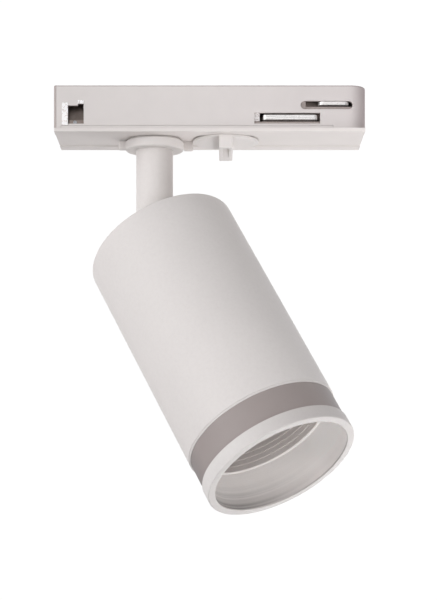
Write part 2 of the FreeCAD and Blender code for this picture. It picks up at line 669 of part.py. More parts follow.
def lampholder():
    front, rear = z_at(HOLDER_FRONT), z_at(HOLDER_REAR)
    holder = chamfer_circles(cyl(HOLDER_R, front, rear), 0.8, HOLDER_R)
    for side in (0, 180):
        # keyhole: the pin's head enters 20 degrees away, its neck follows a narrow arc
        wide, narrow = [], []
        for turn in range(0, 21, 4):
            angle = math.radians(side + turn)
            x, y = PIN_X * math.cos(angle), PIN_X * math.sin(angle)
            narrow.append(cyl(PIN_NECK_R + 0.25, front - 1, front + 5, x, y))
            wide.append(cyl(PIN_HEAD_R + 0.3, front + 4.45, front + 8.2, x, y))
        narrow.append(cyl(PIN_HEAD_R + 0.2, front - 1, front + 5, x, y))
        holder = holder.cut(fuse(*wide)).cut(fuse(*narrow))
    holder = holder.removeSplitter()
    for x, y in HOLDER_SCREWS:
        holder = holder.cut(cyl(1.3, rear - 7, rear + 3, x, y))
    return holder


def holder_bracket():
    """Plate behind the holder, two legs, and feet turned out against the rear wall."""
    z0, half, leg_out = z_at(HOLDER_REAR), BRACKET_HALF_W, LEG_Y + BRACKET_T
    foot_z = REAR_IN_Z - BRACKET_T
    bracket = fuse(
        box(-half, half, -leg_out, leg_out, z0, z0 + BRACKET_T),
        box(-half, half, -leg_out, -LEG_Y, z0, REAR_IN_Z),
        box(-half, half, LEG_Y, leg_out, z0, REAR_IN_Z),
        box(-half, half, -FOOT_Y, -LEG_Y, foot_z, REAR_IN_Z),
        box(-half, half, LEG_Y, FOOT_Y, foot_z, REAR_IN_Z))
    for y in BRACKET_SCREWS_Y:
        bracket = bracket.cut(cyl(1.6, REAR_IN_Z - 3, REAR_Z, 0, y))
    for x, y in HOLDER_SCREWS:
        bracket = bracket.cut(cyl(1.6, z0 - 2, z0 + 3, x, y))
    return bracket.cut(cyl(3.5, z0 - 2, z0 + 3))


def bracket_screws():
    return Part.makeCompound([
        up_screw(0, y, REAR_IN_Z - BRACKET_T, head_r=2.6, head_h=1.5, shank_r=1.5, shank_l=3.0)
        for y in BRACKET_SCREWS_Y])


def holder_screws():
    z = z_at(HOLDER_REAR) + BRACKET_T
    return Part.makeCompound([
        screw(x, y, z, head_r=2.4, head_h=1.4, shank_r=1.3, shank_l=7.0)
        for x, y in HOLDER_SCREWS])


def head_cable():
    return cyl(CABLE_R, SPLIT_Z, REAR_Z + 1.1, GROMMET_X, 0)


def head_leads():
    """Two leads to the side of the holder and a third to a bracket foot."""
    leads, holder_z = [], z_at(HOLDER_REAR)
    for y in (-0.9, 0.9):
        spread = y * 2.4
        leads.append(wire([
            (GROMMET_X, y, SPLIT_Z), (GROMMET_X, y, SPLIT_Z - 1.0),
            (-19.0, spread, SPLIT_Z - 5.0), (-19.0, spread, holder_z - 4.0),
            (-12.75, spread, holder_z - 6.5)], LEAD_R))
    x, foot_z = GROMMET_X - 0.95, REAR_IN_Z - 2.2
    leads.append(wire([(x, 0, SPLIT_Z), (x, 0, SPLIT_Z - 1.6),
                       (GROMMET_X - 2.6, 9.0, foot_z), (-8.0, 20.0, foot_z)], LEAD_R))
    return Part.makeCompound(leads)


# ---------------------------------------------------------------- reflector lamp, two-pin base
# radius, distance back from the lamp face
LAMP_OUTLINE = [
    (0, 3.6), (23.2, 3.6), (23.2, 0), (LAMP_R - 0.3, 0), (LAMP_R, 0.3), (LAMP_R, 3.2),
    (LAMP_R - 0.8, 4.0), (24.0, 6.0), (22.4, 14.0), (19.6, 23.0), (16.2, 32.0),
    (13.2, 39.0), (12.0, 42.0), (11.8, 53.4), (11.2, 53.75), (0, 53.75)]


def lamp_body():
    face, base = z_at(LAMP_FACE), z_at(LAMP_BASE)
    lamp = revolve_depths([(radius, LAMP_FACE + depth) for radius, depth in LAMP_OUTLINE])
    # twelve notches round the flared side
    for i in range(12):
        notch = box(-1.1, 1.1, 21.6, 30.0, face + 7.5, face + 21.0)
        notch.rotate(V(0, 0, 0), V(0, 0, 1), i * 30.0)
        lamp = lamp.cut(notch)
    lamp = lamp.cut(cyl(22.0, face + 3.0, face + 7.6))
    for x in (PIN_X, -PIN_X):
        lamp = lamp.cut(cyl(PIN_NECK_R, base - PIN_SUNK, base + 1, x))
    return lamp.removeSplitter()


def lamp_pins():
    base = z_at(LAMP_BASE)
    return Part.makeCompound([
        fuse(cyl(PIN_NECK_R, base - PIN_SUNK, base + 5.0, x),
             cyl(PIN_HEAD_R, base + 5.0, base + 7.0, x))
        for x in (PIN_X, -PIN_X)])


def lamp_lens():
    """Disc with three ring grooves in its front."""
    face = z_at(LAMP_FACE)
    lens = cyl(23.15, face + 0.5, face + 2.2)
    for radius in (7.0, 13.0, 18.5):
        lens = lens.cut(tube(radius + 0.35, radius - 0.35, face + 0.3, face + 0.75))
    return lens


def lamp_led_board():
    return cyl(21.6, z_at(LAMP_FACE + 6.2), z_at(LAMP_FACE + 7.55))


def lamp_leds():
    """One square chip in the middle and six round it."""
    half, ring_r = 1.4, 11.5
    angles = [math.radians(60 * i) for i in range(6)]
    centres = [(0, 0)] + [(ring_r * math.cos(a), ring_r * math.sin(a)) for a in angles]
    z0, z1 = z_at(LAMP_FACE + 5.5), z_at(LAMP_FACE + 6.2)
    return Part.makeCompound([box(x - half, x + half, y - half, y + half, z0, z1)
                              for x, y in centres])


# ---------------------------------------------------------------- front ring
def front_bezel():
    return revolve_depths([
        (RING_IN_R + 0.12, 0), (HEAD_R - 0.5, 0), (HEAD_R - 0.15, 0.15), (HEAD_R, 0.5),
        (HEAD_R, BEZEL_END), (SEAT_R, BEZEL_END), (SEAT_R, LIP), (RING_IN_R, LIP),
        (RING_IN_R, 0.12)])


def acrylic_ring():
    """Clear wall seated in the bezel in front and in the head shell behind."""
    spigot_end, inner_end = ACRYLIC_END + 3.4, BAFFLE_START + 0.05
    return revolve_depths([
        (RING_IN_R + 0.1, LIP), (SEAT_R - 0.05, LIP), (SEAT_R - 0.05, BEZEL_END),
        (ACRYLIC_R, BEZEL_END), (ACRYLIC_R, ACRYLIC_END), (INSERT_R, ACRYLIC_END),
        (INSERT_R, spigot_end), (27.9, spigot_end), (27.9, inner_end), (26.85, inner_end),
        (26.75, BAFFLE_START - 0.1), (26.8, BAFFLE_START - 0.3),
        (RING_IN_R + 0.1, BAFFLE_START - 0.7)])


def front_baffle():
    """Ring stepping inwards towards the lamp, with an O-ring groove outside."""
    step_in, step_back = 0.7, 1.85
    start, shoulder, end = BAFFLE_START + 0.1, ACRYLIC_END + 3.5, LAMP_FACE - 0.15
    radius, depth = 26.7, start
    outline = [(radius, depth)]
    for _ in range(4):
        depth += step_back
        outline += [(radius - 0.1, depth), (radius - step_in, depth)]
        radius -= step_in
    outline += [(23.85, depth + 1.7), (23.85, end), (INSERT_R, end), (INSERT_R, shoulder),
                (27.8, shoulder), (27.8, start)]
    groove_end = SEAL_GROOVE + SEAL_GROOVE_W
    return revolve_depths(outline).cut(revolve_depths([
        (BORE_R - 1.3, SEAL_GROOVE), (BORE_R + 1, SEAL_GROOVE),
        (BORE_R + 1, groove_end), (BORE_R - 1.3, groove_end)]))


def front_o_ring():
    centre = V(0, 0, z_at(SEAL_GROOVE + SEAL_GROOVE_W / 2))
    return Part.makeTorus(BORE_R - 0.72, 0.58, centre, V(0, 0, 1))


# ---------------------------------------------------------------- rest positions and export
HINGE_PLACE = FreeCAD.Placement(V(0, 0, PIVOT_Z), FreeCAD.Rotation(V(0, 0, 1), PAN_REST))
HEAD_TILT = FreeCAD.Placement(V(0, 0, 0), FreeCAD.Rotation(V(0, 1, 0), -TILT_REST))

for piece in (
        adapter_housing, adapter_base, housing_screws, terminal_block, terminal_screws,
        earth_spring, earth_rivets, live_lead, neutral_lead, earth_lead, lock_lever, lock_cam,
        cam_screw, contact_carriage, live_contact, neutral_contact, contact_follower_pin,
        lock_carriage, lock_tongue, lock_follower_pin, swivel_collar, swivel_nipple,
        swivel_flat_washer, swivel_spring_washer, swivel_nut, stem_tube, stem_top_plug):
    export(piece)
for piece in (stem_cable, hinge_cable_loop, hinge_fork, hinge_screw, hinge_nut, hinge_washers):
    export(piece, HINGE_PLACE)
for piece in (
        head_shell, hinge_tongue, tongue_screws, cable_grommet, lampholder, holder_bracket,
        bracket_screws, holder_screws, head_cable, head_leads, lamp_body, lamp_lens, lamp_pins,
        lamp_led_board, lamp_leds, front_bezel, acrylic_ring, front_baffle, front_o_ring):
    export(piece, HINGE_PLACE.multiply(HEAD_TILT))
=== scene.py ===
import json
import math

import bmesh
import bpy
from mathutils import Matrix, Quaternion, Vector


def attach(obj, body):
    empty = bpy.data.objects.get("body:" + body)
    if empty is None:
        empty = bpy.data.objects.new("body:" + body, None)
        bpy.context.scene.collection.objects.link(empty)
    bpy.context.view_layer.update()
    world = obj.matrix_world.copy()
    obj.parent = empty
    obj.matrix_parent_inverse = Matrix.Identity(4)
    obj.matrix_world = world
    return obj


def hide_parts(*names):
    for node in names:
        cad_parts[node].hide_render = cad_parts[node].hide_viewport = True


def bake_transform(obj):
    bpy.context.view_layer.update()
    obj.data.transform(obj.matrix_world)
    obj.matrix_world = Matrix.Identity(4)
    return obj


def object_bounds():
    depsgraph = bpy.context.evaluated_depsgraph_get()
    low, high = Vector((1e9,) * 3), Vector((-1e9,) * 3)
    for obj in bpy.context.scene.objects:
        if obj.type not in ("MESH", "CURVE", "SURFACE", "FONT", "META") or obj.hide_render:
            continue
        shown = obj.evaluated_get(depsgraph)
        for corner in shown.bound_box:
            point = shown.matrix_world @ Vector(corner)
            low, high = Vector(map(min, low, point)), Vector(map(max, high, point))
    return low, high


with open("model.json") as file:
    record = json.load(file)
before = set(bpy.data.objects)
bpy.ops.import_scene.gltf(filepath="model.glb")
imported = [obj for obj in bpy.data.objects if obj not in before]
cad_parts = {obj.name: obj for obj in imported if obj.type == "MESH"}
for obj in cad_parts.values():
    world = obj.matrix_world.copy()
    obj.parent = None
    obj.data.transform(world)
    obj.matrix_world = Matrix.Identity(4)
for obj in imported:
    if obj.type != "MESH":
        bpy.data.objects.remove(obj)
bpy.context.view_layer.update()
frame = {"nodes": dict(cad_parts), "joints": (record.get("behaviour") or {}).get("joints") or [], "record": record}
nodes, record = frame["nodes"], frame["record"]
joints = {j["name"]: j for j in frame["joints"]}
scene = bpy.context.scene
scene.view_settings.view_transform = "Standard"
scene.view_settings.look = "None"

MM = 0.001
PIVOT = Vector(joints["tilt"]["pos_m"])
AIM = Vector(joints["front_ring_pull"]["axis"]).normalized()      # where the head points
TILT_AXIS = Vector(joints["tilt"]["axis"]).normalized()
SIDE = AIM.cross(TILT_AXIS).normalized()                          # across the head, square to the tilt axis
FRONT = 0.1172                                                    # pivot to front plane, along AIM
LENS = 113.34                                                     # camera lens, millimetres
CAM_X, CAM_Y, CAM_Z = 0.0253, -0.7478, -0.17735                   # camera place, metres
SHIFT_Y = 0.40533                                                 # rise of the lens, in frame heights


# ---------------------------------------------------------------- colour and node helpers
def lin(r, g, b):
    f = lambda c: c / 12.92 if c <= 0.04045 else ((c + 0.055) / 1.055) ** 2.4
    return (f(r / 255), f(g / 255), f(b / 255), 1.0)


class Mat:
    """A node material with small helpers; every texture is in object space, in metres."""

    def __init__(self, name):
        self.m = bpy.data.materials.new(name)
        self.m.use_nodes = True
        self.t = self.m.node_tree
        self.n = self.t.nodes
        self.l = self.t.links
        self.n.clear()
        self.out = self.n.new("ShaderNodeOutputMaterial")
        self.b = self.n.new("ShaderNodeBsdfPrincipled")
        self.l.new(self.b.outputs[0], self.out.inputs["Surface"])
        self.co = self.n.new("ShaderNodeTexCoord").outputs["Object"]

    def set(self, **kw):
        for k, v in kw.items():
            self.b.inputs[k.replace("_", " ")].default_value = v
        return self

    def link(self, a, b):
        self.l.new(a, b)

    def mapping(self, scale=(1, 1, 1), rot=(0, 0, 0), loc=(0, 0, 0)):
        n = self.n.new("ShaderNodeMapping")
        n.inputs["Scale"].default_value = scale
        n.inputs["Rotation"].default_value = rot
        n.inputs["Location"].default_value = loc
        self.link(self.co, n.inputs["Vector"])
        return n.outputs[0]

    def noise(self, scale, detail=2.0, rough=0.5, vec=None, dist=0.0):
        n = self.n.new("ShaderNodeTexNoise")
        n.inputs["Scale"].default_value = scale
        n.inputs["Detail"].default_value = detail
        n.inputs["Roughness"].default_value = rough
        n.inputs["Distortion"].default_value = dist
        self.link(vec or self.co, n.inputs["Vector"])
        return n.outputs["Fac"]

    def voronoi(self, scale, feature="F1", vec=None, rand=1.0):
        n = self.n.new("ShaderNodeTexVoronoi")
        n.feature = feature
        n.inputs["Scale"].default_value = scale
        n.inputs["Randomness"].default_value = rand
        self.link(vec or self.co, n.inputs["Vector"])
        return n.outputs["Distance"]

    def ramp(self, fac, stops):
        n = self.n.new("ShaderNodeValToRGB")
        el = n.color_ramp.elements
        while len(el) < len(stops):
            el.new(0.5)
        for e, (p, c) in zip(el, stops):
            e.position = p
            e.color = c if len(c) == 4 else (*c, 1)
        self.link(fac, n.inputs["Fac"])
        return n.outputs["Color"]

    def span(self, fac, lo, hi, a=0.0, b=1.0):
        n = self.n.new("ShaderNodeMapRange")
        for k, v in zip(("From Min", "From Max", "To Min", "To Max"), (a, b, lo, hi)):
            n.inputs[k].default_value = v
        self.link(fac, n.inputs["Value"])
        return n.outputs["Result"]

    def math(self, op, a, b=None, clamp=False):
        n = self.n.new("ShaderNodeMath")
        n.operation = op
        n.use_clamp = clamp
        for i, v in enumerate((a, b)):
            if v is None:
                continue
            if isinstance(v, (int, float)):
                n.inputs[i].default_value = v
            else:
                self.link(v, n.inputs[i])
        return n.outputs[0]

    def mix(self, fac, a, b):
        n = self.n.new("ShaderNodeMix")
        n.data_type = "RGBA"
        for sock, v in ((n.inputs[0], fac), (n.inputs[6], a), (n.inputs[7], b)):
            if isinstance(v, (int, float)):
                sock.default_value = v
            elif isinstance(v, (tuple, list)):
                sock.default_value = v
            else:
                self.link(v, sock)
        return n.outputs[2]

    def axes(self):
        n = self.n.new("ShaderNodeSeparateXYZ")
        self.link(self.co, n.inputs[0])
        return n.outputs

    def inside(self, spans, soft=0.00012):
        """1 inside a box given as {axis: (low, high)} in metres, 0 outside, soft at its sides."""
        xyz, out = self.axes(), None
        for ax, (a, b) in spans.items():
            for v, w in ((self.span(xyz[ax], 0, 1, a - soft, a + soft), a), (self.span(xyz[ax], 1, 0, b - soft, b + soft), b)):
                if w is not None:
                    out = v if out is None else self.math("MULTIPLY", out, v)
        return out

    def tint(self, col, mask, factor):
        """Multiplies a colour by a factor where the mask is 1."""
        return self.mix(mask, col, self.times(col, factor))

    def times(self, col, factor):
        m = self.n.new("ShaderNodeMix")
        m.data_type = "RGBA"
        m.blend_type = "MULTIPLY"
        m.inputs[0].default_value = 1.0
        self.link(col, m.inputs[6])
        m.inputs[7].default_value = factor if len(factor) == 4 else (*factor, 1)
        return m.outputs[2]

    def bevel(self, radius):
        n = self.n.new("ShaderNodeBevel")
        n.samples = 4
        n.inputs["Radius"].default_value = radius
        return n.outputs[0]

    def bump(self, height, strength, distance, normal=None):
        n = self.n.new("ShaderNodeBump")
        n.inputs["Strength"].default_value = strength
        n.inputs["Distance"].default_value = distance
        self.link(height, n.inputs["Height"])
        if normal is not None:
            self.link(normal, n.inputs["Normal"])
        return n.outputs[0]

    def edge(self, radius, gain=6.0):
        """0 on flats, towards 1 on edges, where it places a painted highlight."""
        g = self.n.new("ShaderNodeNewGeometry")
        d = self.n.new("ShaderNodeVectorMath")
        d.operation = "DOT_PRODUCT"
        self.link(self.bevel(radius), d.inputs[0])
        self.link(g.outputs["Normal"], d.inputs[1])
        return self.math("MULTIPLY", self.math("SUBTRACT", 1.0, d.outputs["Value"]), gain, clamp=True)


def moulded_plastic(name, base, rough=0.5, grain=2600.0, depth=0.00004, strength=0.18, tone=0.03, round_edges=0.00025, edge_highlight=0.0, extra=None):
    """Spark-eroded moulded plastic: fine grain, cloudy tone, and an optional painted highlight along its edges."""
    k = Mat(name)
    cloud = k.noise(60.0, 3.0, 0.55)
    fine = k.noise(grain, 3.0, 0.65)
    mid = k.noise(grain * 0.28, 2.0, 0.5)
    dark = tuple(c * (1 - tone) for c in base[:3]) + (1,)
    lite = tuple(min(1, c * (1 + tone * 0.6)) for c in base[:3]) + (1,)
    col = k.mix(k.span(cloud, 0, 1, 0.3, 0.7), dark, lite)
    speck = k.ramp(k.voronoi(520.0), [(0.0, (0.90, 0.89, 0.88)), (0.055, (1, 1, 1))])
    m = k.n.new("ShaderNodeMix"); m.data_type = "RGBA"; m.blend_type = "MULTIPLY"
    m.inputs[0].default_value = 0.25
    k.link(col, m.inputs[6]); k.link(speck, m.inputs[7])
    col = m.outputs[2]
    # painted highlight: the colour is lightened along the edges
    if edge_highlight:
        e = k.edge(round_edges * 2, 5.0)
        col = k.mix(k.math("MULTIPLY", e, edge_highlight), col, tuple(min(1, c * 1.08) for c in base[:3]) + (1,))
    if extra:
        col = extra(k, col)
    k.link(col, k.b.inputs["Base Color"])
    k.link(k.math("ADD", k.span(cloud, -0.06, 0.06, 0.3, 0.7), k.span(fine, rough - 0.05, rough + 0.07, 0.3, 0.7)), k.b.inputs["Roughness"])
    h = k.math("ADD", k.math("MULTIPLY", fine, 0.7), k.math("MULTIPLY", mid, 0.3))
    k.link(k.bump(h, strength, depth, k.bevel(round_edges)), k.b.inputs["Normal"])
    k.set(Specular_IOR_Level=0.42)
    return k.m


def adapter_painted_light(k, col):
    """Tone of the adapter's mouldings, nearly all painted light: painted shade in the slot floors and the window's
    reveals, white painted highlight patches beside the rectangular slot, a glowing painted highlight on the raised
    bead, a painted-shade strip at the square end, painted shade on the nose and along the top edge.
    """
    rough_edge = k.noise(900.0, 4.0, 0.8)
    # painted shade: the slot floors and inner walls are greyer, with a ragged tone
    slot_floor_shade = k.inside({0: (0.0385, 0.0776), 1: (-0.01578, -0.0138), 2: (-0.0152, -0.0058)}, 0.00006)
    col = k.mix(slot_floor_shade, col, k.mix(rough_edge, lin(140, 128, 122), lin(205, 195, 190)))
    # painted highlight: ragged near-white patches beside the rectangular slot
    lip_highlight = k.inside({0: (0.0386, 0.0414), 1: (-0.0163, -0.0158), 2: (-0.0152, -0.0105)}, 0.00006)
    col = k.mix(lip_highlight, col, k.mix(k.ramp(k.noise(2600.0, 3.0, 0.8), [(0.42, (0, 0, 0)), (0.58, (1, 1, 1))]), lin(196, 188, 184), lin(250, 248, 246)))
    # painted shade on the window's reveals
    window = k.inside({0: (-0.0332, -0.0267), 1: (-0.0161, -0.0138), 2: (-0.0152, -0.0070)}, 0.00006)
    col = k.mix(window, col, lin(120, 110, 106))
    # painted highlight: ragged white patches on the raised bead round the window, glowing by emission though it is no
    # lamp
    bead = k.inside({0: (-0.0356, -0.0265), 1: (-0.0180, -0.01657), 2: (-0.0158, -0.0056)}, 0.00002)
    patchy_glow = k.math("MULTIPLY", bead, k.span(k.noise(1250.0, 4.0, 0.85), 0, 1, 0.44, 0.52), clamp=True)
    col = k.mix(patchy_glow, col, (1, 1, 1, 1))
    k.link(k.math("MULTIPLY", patchy_glow, 0.18), k.b.inputs["Emission Strength"])
    k.b.inputs["Emission Color"].default_value = (1, 0.99, 0.985, 1)
    xyz = k.axes()
    box_only = k.span(xyz[2], 0, 1, -0.01672, -0.01662)
    # painted shade: a darker strip down the square end of the box
    strip = k.math("MULTIPLY", k.span(xyz[0], 1, 0, -0.03752, -0.03742), box_only)
    col = k.tint(col, strip, (0.66, 0.615, 0.61))
    # painted shade on the box towards its nose; the parts below the box are made a little lighter
    col = k.tint(housing_painted_shade(k, col), k.math("SUBTRACT", 1.0, box_only), (1.06, 1.06, 1.055))
    # painted shade on the rounded nose, deepening to its end
    nose = k.math("MULTIPLY", k.span(xyz[0], 0, 1, 0.0735, 0.0824), box_only)
    col = k.tint(col, k.math("MULTIPLY", nose, nose), (0.66, 0.60, 0.605))
    # painted shade along the upward-facing fillet of the top edge
    top = k.span(xyz[2], 0, 1, -0.0007, -0.0003)
    g = k.n.new("ShaderNodeNewGeometry")
    up = k.n.new("ShaderNodeSeparateXYZ")
    k.link(g.outputs["Normal"], up.inputs[0])
    top_edge_shade = k.math("MULTIPLY", top, k.span(up.outputs[2], 1, 0, 0.90, 0.99))
    col = k.tint(col, top_edge_shade, (0.80, 0.76, 0.755))
    return col


def bezel_painted_shade(k, col):
    """Painted shade on the front face, and painted shade on the side that deepens away from the light."""
    g = k.n.new("ShaderNodeNewGeometry")
    d = k.n.new("ShaderNodeVectorMath")
    d.operation = "DOT_PRODUCT"
    k.link(g.outputs["Normal"], d.inputs[0])
    d.inputs[1].default_value = AIM
    face = k.span(d.outputs["Value"], 0, 1, 0.80, 0.95)
    x = k.axes()[0]
    # painted shade on the front face
    col = k.tint(col, face, (0.74, 0.735, 0.735))
    # painted shade on the side, deeper away from the light
    side = k.math("MULTIPLY", k.math("SUBTRACT", 1.0, face), k.span(x, 0.05, 1, 0.022, 0.052))
    return k.tint(col, side, (0.80, 0.785, 0.785))


def baffle_painted_shade(k, col):
    """Painted shade, darker down the shaded low side."""
    x = k.axes()[0]
    return k.tint(col, k.span(x, 1, 0, 0.030, 0.062), (0.50, 0.485, 0.48))


def housing_painted_shade(k, col):
    """Painted shade: the box darkens towards its nose."""
    xyz = k.axes()
    box_only = k.span(xyz[2], 0, 1, -0.01672, -0.01662)
    return k.tint(col, k.math("MULTIPLY", box_only, k.span(xyz[0], 0, 1, 0.010, 0.082)), (0.89, 0.875, 0.885))


def stem_painted_shade(k, col):
    """Painted shade on the stem's side away from the light."""
    x = k.axes()
    band = k.inside({1: (-0.0080, 0.0080), 2: (-0.0470, -0.0180)}, 0.0006)
    return k.tint(col, k.math("MULTIPLY", band, k.math("MULTIPLY", k.span(x[0], 0, 1, 0.0012, 0.0068), k.span(x[0], 1, 0, 0.0076, 0.0080))), (0.80, 0.785, 0.78))


def powder_coat(name, base, rough=0.56, round_edges=0.0003, extra=None):
    """Fine-textured powder coat: packed round grains with orange peel beneath."""
    k = Mat(name)
    grain = k.voronoi(1900.0, "SMOOTH_F1")
    fine = k.noise(4200.0, 2.0, 0.6)
    peel = k.noise(420.0, 2.0, 0.5)
    cloud = k.noise(28.0, 3.0, 0.5)
    col = k.mix(k.span(cloud, 0, 1, 0.3, 0.7), tuple(c * 0.982 for c in base[:3]) + (1,), tuple(min(1, c * 1.012) for c in base[:3]) + (1,))
    col = k.tint(col, k.span(k.noise(760.0, 3.0, 0.6), 0, 1, 0.40, 0.62), (0.982, 0.980, 0.980))
    pit = k.ramp(grain, [(0.0, (1, 1, 1)), (0.55, (1, 1, 1)), (1.0, (0.93, 0.925, 0.92))])
    m = k.n.new("ShaderNodeMix"); m.data_type = "RGBA"; m.blend_type = "MULTIPLY"
    m.inputs[0].default_value = 0.55
    k.link(col, m.inputs[6]); k.link(pit, m.inputs[7])
    k.link(extra(k, m.outputs[2]) if extra else m.outputs[2], k.b.inputs["Base Color"])
    k.link(k.math("ADD", k.span(fine, rough - 0.06, rough + 0.06, 0.3, 0.7), k.span(cloud, -0.03, 0.03, 0.3, 0.7)), k.b.inputs["Roughness"])
    h = k.math("ADD", k.math("MULTIPLY", k.math("SUBTRACT", 1.0, grain), 0.55), k.math("ADD", k.math("MULTIPLY", fine, 0.3), k.math("MULTIPLY", peel, 0.6)))
    k.link(k.bump(h, 0.38, 0.00008, k.bevel(round_edges)), k.b.inputs["Normal"])
    k.set(Specular_IOR_Level=0.4)
    return k.m


def brushed(name, base, rough=0.3, along=(1, 0, 0), scratch=0.35, dirt=0.25, round_edges=0.00012, metal=1.0):
    """Plated or rolled metal: drawn scratches along one way, faint tarnish."""
    k = Mat(name)
    s = [2600.0, 2600.0, 2600.0]
    for i in range(3):
        if along[i]:
            s[i] = 90.0
    v = k.mapping(scale=tuple(s))
    lines = k.noise(1.0, 3.0, 0.7, vec=v)
    cloud = k.noise(240.0, 4.0, 0.6)
    col = k.mix(k.span(cloud, 0, dirt, 0.42, 0.75), base, tuple(c * 0.45 for c in base[:3]) + (1,))
    k.link(col, k.b.inputs["Base Color"])
    k.link(k.math("ADD", k.span(lines, rough - 0.08, rough + 0.14, 0.3, 0.7), k.span(cloud, 0, 0.12, 0.4, 0.8)), k.b.inputs["Roughness"])
    k.link(k.bump(lines, scratch, 0.00002, k.bevel(round_edges)), k.b.inputs["Normal"])
    k.set(Metallic=metal)
    return k.m


def rubber(name, base, rough=0.75):
    k = Mat(name)
    f = k.noise(2500.0, 3.0, 0.6)
    c = k.noise(120.0, 2.0, 0.5)
    k.link(k.mix(c, tuple(x * 0.9 for x in base[:3]) + (1,), base), k.b.inputs["Base Color"])
    k.link(k.span(f, rough - 0.1, rough + 0.1, 0.3, 0.7), k.b.inputs["Roughness"])
    k.link(k.bump(f, 0.25, 0.00004, k.bevel(0.0002)), k.b.inputs["Normal"])
    return k.m


def insulation(name, base, stripe=None):
    """Extruded lead insulation: smooth, faint drawing lines, an optional second colour along it."""
    k = Mat(name)
    f = k.noise(1500.0, 2.0, 0.5)
    col = base
    if stripe:
        w = k.n.new("ShaderNodeTexWave")
        w.bands_direction = "DIAGONAL"
        w.inputs["Scale"].default_value = 90.0
        k.link(k.co, w.inputs["Vector"])
        col = k.mix(k.ramp(w.outputs["Fac"], [(0.45, (0, 0, 0)), (0.55, (1, 1, 1))]), base, stripe)
        k.link(col, k.b.inputs["Base Color"])
    else:
        k.link(k.mix(k.noise(200.0), tuple(x * 0.9 for x in base[:3]) + (1,), base), k.b.inputs["Base Color"])
    k.link(k.span(f, 0.32, 0.45, 0.3, 0.7), k.b.inputs["Roughness"])
    k.link(k.bump(f, 0.12, 0.00003), k.b.inputs["Normal"])
    return k.m


def ceramic(name, base):
    k = Mat(name)
    f = k.noise(1800.0, 4.0, 0.7)
    k.link(k.mix(k.noise(90.0, 4.0), tuple(x * 0.93 for x in base[:3]) + (1,), base), k.b.inputs["Base Color"])
    k.link(k.span(f, 0.55, 0.75, 0.3, 0.7), k.b.inputs["Roughness"])
    k.link(k.bump(f, 0.3, 0.00005, k.bevel(0.0004)), k.b.inputs["Normal"])
    return k.m


